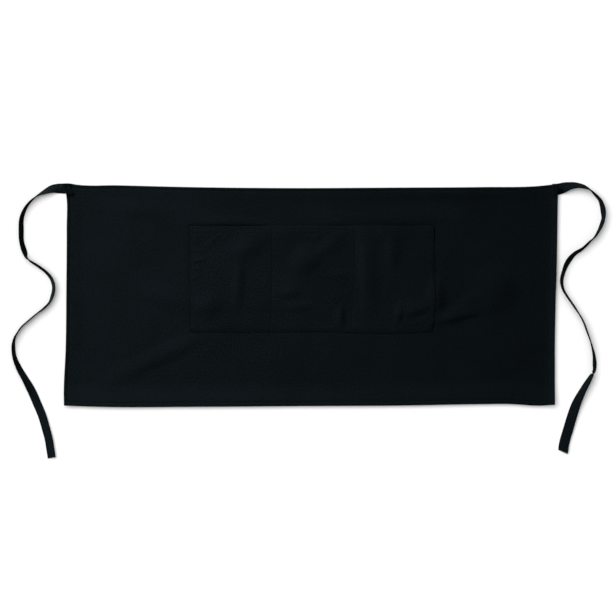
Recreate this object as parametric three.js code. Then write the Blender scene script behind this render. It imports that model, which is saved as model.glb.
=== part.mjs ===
// A half apron of dark twill, lying flat with its front up: a hemmed panel, a patch pocket sewn into
// three pouches, and two ties sewn behind the top corners.
// Millimetres. +X runs along the waist edge, +Y points to the waist edge and +Z up out of the front.
// The origin is the middle of the panel's underside.
import * as THREE from "three";

// Cloth
const CLOTH = 1.0; // one layer
const TURNED = 2.0; // a hem or edge that is turned under
const TURN_ROUND = 1.2; // how far in from its edge a turned cloth rounds over
const TURN_EDGE = 1.4; // its thickness at the very edge
const HEM_STEP = 2.0; // width of the slope from a hem down to the single cloth
const SEAM_GAP = 0.3; // between two cloths that are sewn together

// Panel
const PANEL_WIDTH = 900;
const PANEL_HEIGHT = 402;
const PANEL_HEM = { left: 8, right: 13, top: 7.5, bottom: 9.5 };
const PANEL_CELLS = { across: 26, up: 12 };
const PANEL_MARGIN = 30; // from the bottom edge to the first free row of cloth

// How far each edge of the lying panel stands outside its true rectangle, by the place along the edge.
const EDGE_BOW = {
  left: [
    { at: -201, out: 2.9 },
    { at: -177, out: 3.4 },
    { at: -100, out: 0.1 },
    { at: 10, out: -1.2 },
    { at: 120, out: -1.9 },
    { at: 178, out: -1.3 },
    { at: 184, out: -0.4 },
    { at: 190, out: 3.4 },
    { at: 201, out: 4.2 },
  ],
  right: [
    { at: -201, out: -2.4 },
    { at: -155, out: -2.4 },
    { at: -82, out: -2.3 },
    { at: -8, out: -0.8 },
    { at: 65, out: 1.4 },
    { at: 153, out: 2.7 },
    { at: 198, out: 3.5 },
  ],
  top: [
    { at: -450, out: 4.2 },
    { at: -438, out: 4.0 },
    { at: -430, out: 2.6 },
    { at: -350, out: 0.7 },
    { at: -204, out: -2.8 },
    { at: -57, out: -4.3 },
    { at: 163, out: -3.4 },
    { at: 310, out: -2.5 },
    { at: 420, out: -0.1 },
    { at: 450, out: 3.2 },
  ],
  bottom: [
    { at: -450, out: 1.8 },
    { at: -387, out: 4.0 },
    { at: -204, out: 4.0 },
    { at: 16, out: 2.5 },
    { at: 163, out: 1.8 },
    { at: 310, out: -0.8 },
    { at: 365, out: -1.2 },
    { at: 425, out: 1.9 },
    { at: 450, out: 0.3 },
  ],
};

// Long smooth bumps in the cloth: middle, direction in degrees from +X, size and rise.
const PANEL_FOLDS = [
  { x: -290, y: -119, turn: 26, length: 190, breadth: 52, rise: 3.8 },
  { x: 300, y: -14, turn: 30, length: 124, breadth: 56, rise: 3.2 },
  { x: 352, y: -28, turn: 95, length: 190, breadth: 104, rise: 4.0 },
  { x: -352, y: 154, turn: -9, length: 170, breadth: 52, rise: 2.6 },
];

// Pocket
const PATCH = { left: -224, right: 226, bottom: -67.5, top: 129 };
const DIVIDERS = [-72.5, 75]; // the two rows of stitches between the pouches
const DIVIDER_HALF = 1.5;
const PATCH_SEAM = 3; // from the patch's edge to the stitches that hold it down
const PATCH_TURN = 6;
const MOUTH_HEM = 13;
const POUCH_RISE = 7; // how far the slack cloth of a pouch stands off the panel
const POUCH_RUN = 70; // from the bottom seam to the full rise
const POUCH_CELLS = { across: 12, up: 13 };
const POCKET_FOLDS = [
  { x: -145, y: 21, turn: 90, length: 150, breadth: 34, rise: 1.0 },
  { x: -124, y: 21, turn: 90, length: 150, breadth: 30, rise: -1.0 },
  { x: 30, y: 95, turn: 57, length: 70, breadth: 30, rise: 1.0 },
  { x: 25, y: 60, turn: -15, length: 90, breadth: 34, rise: -0.9 },
  { x: -22, y: -20, turn: -12, length: 80, breadth: 30, rise: 0.9 },
  { x: 92, y: 45, turn: 90, length: 160, breadth: 30, rise: 1.0 },
  { x: 117, y: 24, turn: 90, length: 160, breadth: 34, rise: -1.0 },
  { x: 143, y: 91, turn: 90, length: 80, breadth: 30, rise: 1.0 },
  { x: 190, y: -34, turn: 23, length: 76, breadth: 28, rise: 1.0 },
];

// Ties: folded cloth, flat where they are sewn on and at their free ends, on edge along the curves
// between. Lean is 0 flat, 90 on edge and 180 turned over. It starts from the side nearest the panel.
// Flare is extra width near the sewn end.
const TIE_THICKNESS = 2.2;
const TIE_FLOOR = 0.05; // clearance under the lowest edge
const TIE_EDGE = 0.5; // bevel along the edges
const TIE_LEFT = {
  width: 15.5,
  side: 1,
  route: [
    { x: -440, y: 195, lean: 0, flare: 2.8 },
    { x: -450, y: 195.2, lean: 0, flare: 2.8 },
    { x: -460, y: 195.5, lean: 0, flare: 2.4 },
    { x: -472, y: 195.7, lean: 20, flare: 0.5 },
    { x: -488.5, y: 190, lean: 64 },
    { x: -499.5, y: 184.5, lean: 83 },
    { x: -508, y: 178, lean: 90 },
    { x: -522, y: 163, lean: 102 },
    { x: -531, y: 141, lean: 113 },
    { x: -532, y: 119.5, lean: 118 },
    { x: -530.5, y: 97.5, lean: 115 },
    { x: -524.5, y: 75, lean: 108 },
    { x: -516.5, y: 64, lean: 95 },
    { x: -500, y: 53, lean: 82 },
    { x: -486.5, y: 42, lean: 79 },
    { x: -477.5, y: 31, lean: 77 },
    { x: -472.5, y: 15, lean: 75 },
    { x: -474.5, y: -2, lean: 77 },
    { x: -479.5, y: -13, lean: 82 },
    { x: -489, y: -24, lean: 85 },
    { x: -503.5, y: -35, lean: 88 },
    { x: -517.5, y: -46, lean: 90 },
    { x: -530, y: -57, lean: 91 },
    { x: -538, y: -68, lean: 94 },
    { x: -543.5, y: -79, lean: 98 },
    { x: -546, y: -90, lean: 105 },
    { x: -544.5, y: -112, lean: 111 },
    { x: -535.5, y: -134, lean: 121 },
    { x: -523, y: -156, lean: 137 },
    { x: -511.5, y: -178, lean: 158 },
    { x: -502, y: -200, lean: 172 },
    { x: -493, y: -222, lean: 182 },
    { x: -486.5, y: -244, lean: 187 },
    { x: -480.5, y: -266, lean: 190 },
    { x: -476, y: -297, lean: 190 },
  ],
};
const TIE_RIGHT = {
  width: 18.5,
  side: -1,
  route: [
    { x: 444, y: 193.5, lean: 0, flare: 2 },
    { x: 456, y: 195, lean: 0, flare: 1.4 },
    { x: 464, y: 197.5, lean: 15, flare: 0.7 },
    { x: 475, y: 200, lean: 42 },
    { x: 484, y: 201.5, lean: 55 },
    { x: 493, y: 200.5, lean: 68 },
    { x: 502.5, y: 198.5, lean: 80 },
    { x: 509, y: 195, lean: 90 },
    { x: 523, y: 183.5, lean: 100 },
    { x: 530.5, y: 174.5, lean: 104 },
    { x: 535, y: 163, lean: 111 },
    { x: 536.5, y: 152, lean: 114 },
    { x: 536.5, y: 141, lean: 109 },
    { x: 533.5, y: 130, lean: 107 },
    { x: 529, y: 119, lean: 102 },
    { x: 522, y: 108, lean: 96 },
    { x: 511, y: 97, lean: 84 },
    { x: 498.5, y: 86, lean: 80 },
    { x: 482, y: 75, lean: 72 },
    { x: 473.5, y: 64, lean: 67 },
    { x: 463, y: 42, lean: 72 },
    { x: 460, y: 26, lean: 74 },
    { x: 463.5, y: 9, lean: 82 },
    { x: 470, y: -2, lean: 85 },
    { x: 485, y: -24, lean: 88 },
    { x: 498.5, y: -46, lean: 90 },
    { x: 507.5, y: -68, lean: 90 },
    { x: 514.5, y: -90, lean: 88 },
    { x: 519.5, y: -112, lean: 80 },
    { x: 520.5, y: -127, lean: 75 },
    { x: 519, y: -138, lean: 84 },
    { x: 515, y: -147.5, lean: 100 },
    { x: 510, y: -156, lean: 116 },
    { x: 497.5, y: -178, lean: 134 },
    { x: 487, y: -200, lean: 155 },
    { x: 479, y: -222, lean: 164 },
    { x: 472.5, y: -244, lean: 169 },
    { x: 463.5, y: -277, lean: 171 },
    { x: 462.5, y: -288.5, lean: 172 },
  ],
};

// Seat for a tie's end under each top corner of the panel
const SEAT_LENGTH = 22; // along both edges of the corner
const SEAT_RAMP = 10; // slope from the seat back down
const SEAT_RISE = TIE_FLOOR + TIE_THICKNESS + SEAM_GAP;

// Looks
const CLOTH_LOOK = { roughness: 0.95, metalness: 0 };
const PANEL_COLOUR = 0x10171a;
const POCKET_COLOUR = 0x0f161a;
const TIE_COLOUR = 0x12191c;

function linesBetween(from, to, count) {
  return Array.from({ length: count + 1 }, (_, i) => THREE.MathUtils.lerp(from, to, i / count));
}

// Grid lines over a hem: its edge, where the turn is fully round, and the slope to the single cloth.
function hemLines(edge, hem, inward) {
  return [0, TURN_ROUND, hem, hem + HEM_STEP].map((inset) => edge + inward * inset);
}

// A value read from a table, with smooth runs between its rows.
function bowAt(rows, at) {
  const next = rows.findIndex((row) => row.at >= at);
  if (next === 0) return rows[0].out;
  if (next < 0) return rows.at(-1).out;
  const [before, after] = [rows[next - 1], rows[next]];
  return THREE.MathUtils.lerp(before.out, after.out, THREE.MathUtils.smoothstep(at, before.at, after.at));
}

function foldRise(folds, x, y) {
  let rise = 0;
  for (const fold of folds) {
    const offset = new THREE.Vector2(x - fold.x, y - fold.y);
    offset.rotateAround(new THREE.Vector2(), -THREE.MathUtils.degToRad(fold.turn));
    const reach = Math.hypot(offset.x / (fold.length / 2), offset.y / (fold.breadth / 2));
    rise += fold.rise * 0.5 * (1 + Math.cos(Math.PI * Math.min(1, reach)));
  }
  return rise;
}

// Thickness of a cloth whose edges are turned: insets are the distances in from the edges.
function turnedThickness(insets) {
  const nearest = Math.min(...insets.map(({ inset }) => inset));
  if (nearest < TURN_ROUND / 2) return TURN_EDGE;
  const shares = insets.map(({ inset, hem }) => 1 - THREE.MathUtils.clamp((inset - hem) / HEM_STEP, 0, 1));
  return THREE.MathUtils.lerp(CLOTH, TURNED, Math.max(...shares));
}

function meshOf(name, positions, indices, colour) {
  const geometry = new THREE.BufferGeometry();
  geometry.setAttribute("position", new THREE.Float32BufferAttribute(positions, 3));
  geometry.setIndex(indices);
  geometry.computeVertexNormals();
  const mesh = new THREE.Mesh(geometry, new THREE.MeshStandardMaterial({ color: colour, ...CLOTH_LOOK }));
  mesh.name = name;
  return mesh;
}

function quad(indices, a, b, c, d) {
  indices.push(a, b, c, a, c, d);
}

// A closed cloth over a grid. place(u, v) gives x, y and the heights of its lower and upper faces.
function clothMesh(name, columns, rows, place, colour) {
  const places = rows.flatMap((v) => columns.map((u) => place(u, v)));
  const positions = [
    ...places.flatMap((p) => [p.x, p.y, p.low + p.thickness]),
    ...places.flatMap((p) => [p.x, p.y, p.low]),
  ];
  const across = columns.length;
  const under = places.length;
  const indices = [];
  for (let row = 0; row + 1 < rows.length; row++) {
    for (let column = 0; column + 1 < across; column++) {
      const a = row * across + column;
      const b = a + 1;
      const c = b + across;
      const d = a + across;
      quad(indices, a, b, c, d);
      quad(indices, under + a, under + d, under + c, under + b);
    }
  }
  const last = under - across;
  const rim = [
    ...columns.map((_, i) => i),
    ...rows.slice(1).map((_, i) => (i + 2) * across - 1),
    ...columns.slice(1).map((_, i) => last + across - 2 - i),
    ...rows.slice(1, -1).map((_, i) => last - (i + 1) * across),
  ];
  rim.forEach((a, i) => {
    const b = rim[(i + 1) % rim.length];
    quad(indices, under + a, under + b, b, a);
  });
  return meshOf(name, positions, indices, colour);
}

function panelMesh() {
  const half = { x: PANEL_WIDTH / 2, y: PANEL_HEIGHT / 2 };
  const seat = { x: half.x - SEAT_LENGTH, y: half.y - SEAT_LENGTH };
  const columns = [
    ...hemLines(-half.x, PANEL_HEM.left, 1),
    -seat.x,
    ...linesBetween(SEAT_RAMP - seat.x, seat.x - SEAT_RAMP, PANEL_CELLS.across),
    seat.x,
    ...hemLines(half.x, PANEL_HEM.right, -1).reverse(),
  ];
  const rows = [
    ...hemLines(-half.y, PANEL_HEM.bottom, 1),
    ...linesBetween(PANEL_MARGIN - half.y, seat.y - SEAT_RAMP, PANEL_CELLS.up),
    seat.y,
    ...hemLines(half.y, PANEL_HEM.top, -1).reverse(),
  ];
  const ramp = (at, full) => THREE.MathUtils.clamp((at - full) / SEAT_RAMP + 1, 0, 1);
  const place = (u, v) => {
    const across = u / PANEL_WIDTH + 0.5;
    const up = v / PANEL_HEIGHT + 0.5;
    const x = u + THREE.MathUtils.lerp(-bowAt(EDGE_BOW.left, v), bowAt(EDGE_BOW.right, v), across);
    const y = v + THREE.MathUtils.lerp(-bowAt(EDGE_BOW.bottom, u), bowAt(EDGE_BOW.top, u), up);
    const thickness = turnedThickness([
      { inset: u + half.x, hem: PANEL_HEM.left },
      { inset: half.x - u, hem: PANEL_HEM.right },
      { inset: v + half.y, hem: PANEL_HEM.bottom },
      { inset: half.y - v, hem: PANEL_HEM.top },
    ]);
    const seatRise = SEAT_RISE * ramp(Math.abs(u), seat.x) * ramp(v, seat.y);
    return { x, y, low: foldRise(PANEL_FOLDS, u, v) + seatRise, thickness };
  };
  return clothMesh("apron_panel", columns, rows, place, PANEL_COLOUR);
}

function pocketMesh() {
  const floor = PATCH.bottom + PATCH_SEAM;
  const pouches = [
    { from: PATCH.left + PATCH_SEAM, to: DIVIDERS[0] - DIVIDER_HALF },
    { from: DIVIDERS[0] + DIVIDER_HALF, to: DIVIDERS[1] - DIVIDER_HALF },
    { from: DIVIDERS[1] + DIVIDER_HALF, to: PATCH.right - PATCH_SEAM },
  ];
  const columns = [
    PATCH.left,
    PATCH.left + TURN_ROUND,
    ...pouches.flatMap(({ from, to }) => linesBetween(from, to, POUCH_CELLS.across)),
    PATCH.right - TURN_ROUND,
    PATCH.right,
  ];
  const rows = [
    PATCH.bottom,
    PATCH.bottom + TURN_ROUND,
    ...linesBetween(floor, PATCH.top - MOUTH_HEM - HEM_STEP, POUCH_CELLS.up),
    PATCH.top - MOUTH_HEM,
    PATCH.top - TURN_ROUND,
    PATCH.top,
  ];
  // 0 along the seams, 1 over the slack middle of each pouch and out to its mouth.
  const slack = (u, v) => {
    const pouch = pouches.find(({ from, to }) => u > from && u < to);
    if (!pouch) return 0;
    const across = Math.sqrt(Math.sin((Math.PI * (u - pouch.from)) / (pouch.to - pouch.from)));
    const up = Math.sin((Math.PI / 2) * THREE.MathUtils.clamp((v - floor) / POUCH_RUN, 0, 1));
    return across * up;
  };
  const place = (u, v) => {
    const rise = POUCH_RISE + foldRise(POCKET_FOLDS, u, v);
    const thickness = turnedThickness([
      { inset: u - PATCH.left, hem: PATCH_TURN },
      { inset: PATCH.right - u, hem: PATCH_TURN },
      { inset: v - PATCH.bottom, hem: PATCH_TURN },
      { inset: PATCH.top - v, hem: MOUTH_HEM },
    ]);
    return { x: u, y: v, low: CLOTH + SEAM_GAP + rise * slack(u, v), thickness };
  };
  return clothMesh("pocket", columns, rows, place, POCKET_COLOUR);
}

// A tie's section, in its width and thickness directions, as a flat bar with bevelled edges.
function tieSection(width) {
  const x = width / 2;
  const y = TIE_THICKNESS / 2;
  return [
    [x - TIE_EDGE, -y],
    [x, TIE_EDGE - y],
    [x, y - TIE_EDGE],
    [x - TIE_EDGE, y],
    [TIE_EDGE - x, y],
    [-x, y - TIE_EDGE],
    [-x, TIE_EDGE - y],
    [TIE_EDGE - x, -y],
  ];
}

function tieMesh(name, { width, side, route }) {
  const up = new THREE.Vector3(0, 0, 1);
  const curve = new THREE.CatmullRomCurve3(route.map(({ x, y }) => new THREE.Vector3(x, y, 0)));
  const positions = [];
  route.forEach(({ x, y, lean, flare = 0 }, row) => {
    const along = curve.getTangent(row / (route.length - 1));
    const flat = up.clone().cross(along).multiplyScalar(side);
    const angle = THREE.MathUtils.degToRad(lean);
    const wide = flat.multiplyScalar(Math.cos(angle)).addScaledVector(up, Math.sin(angle));
    const thick = along.clone().cross(wide);
    const broad = width + flare;
    const height = Math.abs(wide.z) * (broad / 2) + Math.abs(thick.z) * (TIE_THICKNESS / 2);
    const middle = new THREE.Vector3(x, y, height + TIE_FLOOR);
    for (const [w, t] of tieSection(broad)) {
      positions.push(...middle.clone().addScaledVector(wide, w).addScaledVector(thick, t));
    }
  });
  const sides = tieSection(width).length;
  const indices = [];
  for (let row = 0; row + 1 < route.length; row++) {
    for (let i = 0; i < sides; i++) {
      const a = row * sides + i;
      const b = row * sides + ((i + 1) % sides);
      quad(indices, a, b, b + sides, a + sides);
    }
  }
  const end = (route.length - 1) * sides;
  for (let i = 1; i + 1 < sides; i++) {
    indices.push(0, i + 1, i);
    indices.push(end, end + i, end + i + 1);
  }
  return meshOf(name, positions, indices, TIE_COLOUR);
}

const apron = new THREE.Group();
apron.name = "half_apron";
apron.add(panelMesh(), pocketMesh(), tieMesh("tie_left", TIE_LEFT), tieMesh("tie_right", TIE_RIGHT));

export default apron;
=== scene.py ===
import math
from collections import namedtuple

import bpy
import numpy as np
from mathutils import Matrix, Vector


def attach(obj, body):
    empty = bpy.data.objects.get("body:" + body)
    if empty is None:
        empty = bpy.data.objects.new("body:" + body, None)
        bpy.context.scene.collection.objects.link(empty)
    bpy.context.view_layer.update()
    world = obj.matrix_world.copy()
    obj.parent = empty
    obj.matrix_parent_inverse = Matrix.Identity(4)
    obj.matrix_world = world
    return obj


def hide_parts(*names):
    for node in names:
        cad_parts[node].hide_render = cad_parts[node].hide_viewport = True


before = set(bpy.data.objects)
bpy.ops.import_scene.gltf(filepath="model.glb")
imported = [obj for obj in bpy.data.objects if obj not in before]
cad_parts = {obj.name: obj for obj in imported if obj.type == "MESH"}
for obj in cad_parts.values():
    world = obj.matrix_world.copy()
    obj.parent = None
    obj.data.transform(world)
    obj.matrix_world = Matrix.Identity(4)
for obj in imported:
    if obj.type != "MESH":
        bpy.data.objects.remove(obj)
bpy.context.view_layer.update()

Rect = namedtuple("Rect", "left right bottom top")
Bow = namedtuple("Bow", "at out")
Curl = namedtuple("Curl", "rise run")
Wear = namedtuple("Wear", "at shade")
Divider = namedtuple("Divider", "x shade wear wander")
Fold = namedtuple("Fold", "x y turn length left right rise")
Bend = namedtuple("Bend", "x y lean flare", defaults=[0])
Tie = namedtuple("Tie", "name width side shade length leaves route")
Ring = namedtuple("Ring", "at lift radius")
Tone = namedtuple("Tone", "at share")

SIDES = ("left", "right", "bottom", "top")

# Camera and ground
FIELD = 1.1285  # width of the ground that the picture takes in
LENS = 300.0  # in millimetres, as the sensor is
SENSOR = 36.0
CAMERA_OVER = (-0.0059, -0.0229)  # the place that it looks straight down on
FLOOR_Z = -0.0002
FLOOR_HALF = 30.0
FLOOR_COLOUR = (0.9, 0.9, 0.9)

# Lights: an even sky, a soft sun, and a window low at the upper left, which brings out the folds.
# The window is aimed beside the apron, which lies in the fading edge of its light.
SKY_STRENGTH = 0.50
SUN_PLACE = (-1.0, 1.0, 3.18)
SUN_STRENGTH = 2.50
SUN_SPREAD = 54
WINDOW_PLACE = (-3.96, 4.42, 2.44)
WINDOW_AIM = (-2.83, 2.40, 0)
WINDOW_POWER = 11800
WINDOW_SPREAD = 61
WINDOW_BLEND = 0.30
WINDOW_RADIUS = 0.42

# Cloth
CLOTH = 0.0006  # one layer
EDGE_ROUND = 0.0011  # how far in from an edge its fold is round
HEM_STEP = 0.0004  # how sharply the turned layers end, on the underside
HEM_RUN = 0.024  # how far in from a hem the single cloth comes down to the ground
SEAM_GAP = 0.00015  # between the pocket and the panel, along the seams
GROOVE_HALF = 0.0009  # a row of stitches pulls the cloth in over this much to each side
REST_SOFTNESS = 0.0003  # how gently the cloth comes to rest on the ground
WAVE_SHORTEST = 0.022  # of the gentle waves that make the cloth uneven
WAVE_LONGEST = 0.110
WAVE_COUNT = 26
SEEDS = {"panel": 11, "pocket": 23}

# Panel
PANEL = Rect(-0.450, 0.450, -0.201, 0.201)
PANEL_HEM = {"left": 0.0080, "right": 0.0130, "bottom": 0.0095, "top": 0.0075}
PANEL_LAYERS = dict.fromkeys(SIDES, 2)  # turned under, beside the single cloth
PANEL_CELL = 0.004
HEM_STITCH = 0.0015  # from a hem's inner edge out to its stitches
PANEL_STITCH = {side: hem - HEM_STITCH for side, hem in PANEL_HEM.items()}
PANEL_GROOVE = dict.fromkeys(SIDES, 0.0006)
CURL_EASE = 1.2  # the higher, the closer a curl keeps to its edge
SEAT_X = {"left": 0.0125, "right": 0.0085}  # the top corners lie over the ends of the ties
SEAT_Y = 0.0195
SEAT_RAMP = 0.0035  # over which they come down beside the ties
SEAT_RISE = 0.0015
PANEL_LOFT = 0.0014  # how far the loose cloth stands off the ground
PANEL_WAVE = 0.00022

# How far each hem turns up at its edge, and over what width.
PANEL_CURL = {
    "left": Curl(0.0012, 0.0110),
    "right": Curl(0.0068, 0.0165),
    "bottom": Curl(0.0064, 0.0420),
    "top": Curl(0.0003, 0.0080),
}

# How far each edge of the lying panel stands outside its true rectangle, by the place along the edge.
PANEL_BOW = {
    "left": [
        Bow(-0.201, 0.0024),
        Bow(-0.177, 0.0029),
        Bow(-0.100, -0.0004),
        Bow(0.010, -0.0017),
        Bow(0.120, -0.0024),
        Bow(0.178, -0.0018),
        Bow(0.184, -0.0009),
        Bow(0.190, 0.0029),
        Bow(0.201, 0.0037),
    ],
    "right": [
        Bow(-0.201, -0.0024),
        Bow(-0.155, -0.0024),
        Bow(-0.082, -0.0023),
        Bow(-0.008, -0.0008),
        Bow(0.065, 0.0014),
        Bow(0.153, 0.0027),
        Bow(0.198, 0.0035),
    ],
    "bottom": [
        Bow(-0.450, 0.0018),
        Bow(-0.387, 0.0040),
        Bow(-0.204, 0.0040),
        Bow(0.016, 0.0025),
        Bow(0.163, 0.0018),
        Bow(0.310, -0.0008),
        Bow(0.365, -0.0012),
        Bow(0.425, 0.0019),
        Bow(0.450, 0.0003),
    ],
    "top": [
        Bow(-0.450, 0.0037),
        Bow(-0.438, 0.0035),
        Bow(-0.430, 0.0021),
        Bow(-0.350, 0.0002),
        Bow(-0.204, -0.0033),
        Bow(-0.057, -0.0048),
        Bow(0.163, -0.0039),
        Bow(0.310, -0.0030),
        Bow(0.420, -0.0006),
        Bow(0.450, 0.0027),
    ],
}

# Long smooth bumps in the panel: the middle of each, its direction, its length, how far it spreads to
# the left and right of that direction, and its height.
PANEL_FOLDS = [
    Fold(-0.266, -0.109, 25, 0.210, 0.028, 0.021, 0.0024),
    Fold(-0.345, -0.147, 25, 0.150, 0.030, 0.026, 0.0010),
    Fold(0.272, -0.040, 13, 0.165, 0.022, 0.009, 0.0027),
    Fold(0.280, -0.020, 38, 0.120, 0.018, 0.030, 0.0022),
    Fold(0.231, -0.002, 88, 0.100, 0.024, 0.021, 0.0048),
    Fold(0.340, 0.010, 100, 0.120, 0.060, 0.052, 0.0060),
    Fold(0.345, 0.100, 90, 0.170, 0.007, 0.005, 0.0003),
    Fold(-0.262, -0.006, -22, 0.150, 0.030, 0.030, 0.0023),
    Fold(-0.150, 0.1305, 0, 0.200, 0.020, 0.0070, 0.0014),
    Fold(0.043, 0.1305, 0, 0.060, 0.012, 0.0050, 0.0010),
    Fold(0.186, 0.1300, 0, 0.110, 0.012, 0.0060, 0.0005),
    Fold(-0.168, 0.170, 0, 0.120, 0.012, 0.014, 0.0007),
    Fold(-0.352, 0.160, -9, 0.200, 0.026, 0.024, 0.0015),
    Fold(0.150, 0.139, 0, 0.320, 0.026, 0.012, 0.0016),
    Fold(0.255, 0.189, 0, 0.340, 0.012, 0.020, 0.0018),
    Fold(0.345, -0.174, 0, 0.190, 0.016, 0.014, 0.0010),
    Fold(-0.0735, -0.110, 90, 0.080, 0.015, 0.015, 0.0006),
]

# Pocket
POCKET = Rect(-0.224, 0.226, -0.0675, 0.129)
POCKET_HEM = {"left": 0.006, "right": 0.006, "bottom": 0.006, "top": 0.013}
POCKET_LAYERS = {"left": 0.6, "right": 0.6, "bottom": 0.6, "top": 1.4}  # pressed flat
POCKET_CELL = 0.0020
SEWN_SIDES = ("left", "right", "bottom")
DIVIDER_HALF = 0.0015  # what a dividing row holds flat to each side
PALE_BAND_HALF = 0.0050  # how far the cloth is paler to each side of a divider
WANDER_RUN = 0.060  # how far to each side the cloth goes along with a divider that wanders
POCKET_SEAM = 0.0022  # from the pocket's edge to the stitches that hold it down
MOUTH_STITCH = 0.0125  # from the rim of the mouth to the stitches of its hem
POCKET_STITCH = {**dict.fromkeys(SEWN_SIDES, POCKET_SEAM), "top": MOUTH_STITCH}
POCKET_GROOVE = {"left": 0.0003, "right": 0.0003, "bottom": 0.0003, "top": 0.00012}
DIVIDER_GROOVE = 0.0004
POCKET_DENT = {"left": 0.0003, "right": 0.0003, "bottom": 0.0003, "top": 0.0002}  # the panel sinks there
POCKET_DENT_HALF = 0.0010
POCKET_DENT_RUN = 0.012
POUCH_RISE = 0.0016  # how far the slack cloth of a pouch stands off the panel
POUCH_RUN = 0.050  # how far up from the bottom seam it is at its fullest
POUCH_FULLNESS = 1.2  # the lower, the steeper a pouch rises beside its seams
POCKET_WAVE = 0.00022
SEAM_HOLD = 0.012  # how far from a seam the cloth is quite free to crease
SEAM_ROLL = 0.00015  # the cloth rolls up this much beside the bottom seam
SEAM_ROLL_INSET = 0.0070
SEAM_ROLL_HALF = 0.0035

# How far the pocket's edges stand outside its true rectangle.
POCKET_BOW = {
    "left": [Bow(-0.0675, -0.0024), Bow(0.030, -0.0014), Bow(0.129, -0.0006)],
    "right": [Bow(-0.0675, -0.0029), Bow(-0.050, -0.0004), Bow(0.063, 0.0015), Bow(0.129, 0.0001)],
    "bottom": [
        Bow(-0.224, 0.0),
        Bow(-0.070, 0.0005),
        Bow(0.000, -0.0002),
        Bow(0.205, 0.0002),
        Bow(0.226, -0.0018),
    ],
    "top": [Bow(-0.224, -0.0026), Bow(-0.110, -0.0028), Bow(0.060, -0.0026), Bow(0.226, -0.0022)],
}

# The two rows of stitches between the pouches, and how far each wanders to the right, by the height. Shade
# is a painted shadow along each row; band tone makes the cloth paler to each side of it.
DIVIDERS = [
    Divider(
        x=-0.0725,
        shade=0.80,
        wear=1.0,
        wander=[Bow(-0.0675, -0.0028), Bow(0.000, -0.0012), Bow(0.060, 0.0), Bow(0.129, 0.0006)],
    ),
    Divider(
        x=0.0750,
        shade=0.58,
        wear=1.14,
        wander=[
            Bow(-0.0675, 0.0004),
            Bow(-0.028, -0.0010),
            Bow(-0.012, 0.0010),
            Bow(0.012, 0.0012),
            Bow(0.037, 0.0024),
            Bow(0.062, 0.0037),
            Bow(0.106, 0.0043),
            Bow(0.129, 0.0022),
        ],
    ),
]

# Bumps like the panel's, in the slack cloth of the pouches.
POCKET_FOLDS = [
    Fold(-0.117, 0.092, 33, 0.095, 0.032, 0.030, 0.0028),
    Fold(-0.1345, 0.022, 87, 0.135, 0.016, 0.016, 0.0021),
    Fold(-0.192, -0.018, 48, 0.070, 0.028, 0.034, 0.0030),
    Fold(-0.186, 0.096, 50, 0.050, 0.012, 0.010, 0.0007),
    Fold(-0.008, 0.067, 47, 0.085, 0.036, 0.030, 0.0032),
    Fold(0.035, 0.0945, 47, 0.090, 0.020, 0.021, 0.0017),
    Fold(-0.041, 0.0055, 8, 0.064, 0.024, 0.014, 0.0015),
    Fold(-0.023, -0.020, 3, 0.085, 0.012, 0.014, 0.0013),
    Fold(0.050, 0.040, 5, 0.050, 0.014, 0.016, 0.0012),
    Fold(0.0555, -0.0385, 97, 0.055, 0.018, 0.010, 0.0024),
    Fold(0.0985, 0.043, 93, 0.215, 0.022, 0.034, 0.0043),
    Fold(0.148, 0.082, 91, 0.090, 0.016, 0.020, 0.0022),
    Fold(0.195, -0.026, 16, 0.085, 0.024, 0.014, 0.0019),
    Fold(0.205, -0.046, 15, 0.060, 0.012, 0.010, 0.0007),
    Fold(0.161, -0.033, 82, 0.060, 0.014, 0.009, 0.0019),
]

# Short creases that the stitches pull into the pocket's sides.
POCKET_PUCKERS = [
    Fold(-0.2065, 0.0650, 6, 0.034, 0.0070, 0.0040, 0.0012),
    Fold(-0.2115, 0.0500, 4, 0.026, 0.0060, 0.0040, 0.0007),
    Fold(-0.2130, 0.0320, 0, 0.024, 0.0070, 0.0050, 0.0005),
    Fold(-0.2080, 0.0840, -4, 0.036, 0.0060, 0.0045, 0.0006),
    Fold(0.2215, 0.0600, 90, 0.150, 0.0100, 0.0040, 0.0004),
]

# Short slanting creases below the stitches of the pocket's mouth.
MOUTH_PUCKERS = [
    Fold(-0.205, 0.108, 38, 0.030, 0.0035, 0.0035, 0.0004),
    Fold(-0.190, 0.110, 42, 0.030, 0.0040, 0.0035, 0.0004),
    Fold(-0.174, 0.108, 40, 0.034, 0.0040, 0.0035, 0.0004),
    Fold(-0.157, 0.109, 44, 0.030, 0.0040, 0.0040, 0.0004),
    Fold(-0.050, 0.110, 36, 0.030, 0.0040, 0.0040, 0.0003),
    Fold(0.010, 0.109, 40, 0.030, 0.0040, 0.0040, 0.0003),
    Fold(0.118, 0.108, 52, 0.034, 0.0045, 0.0040, 0.0004),
]

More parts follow.
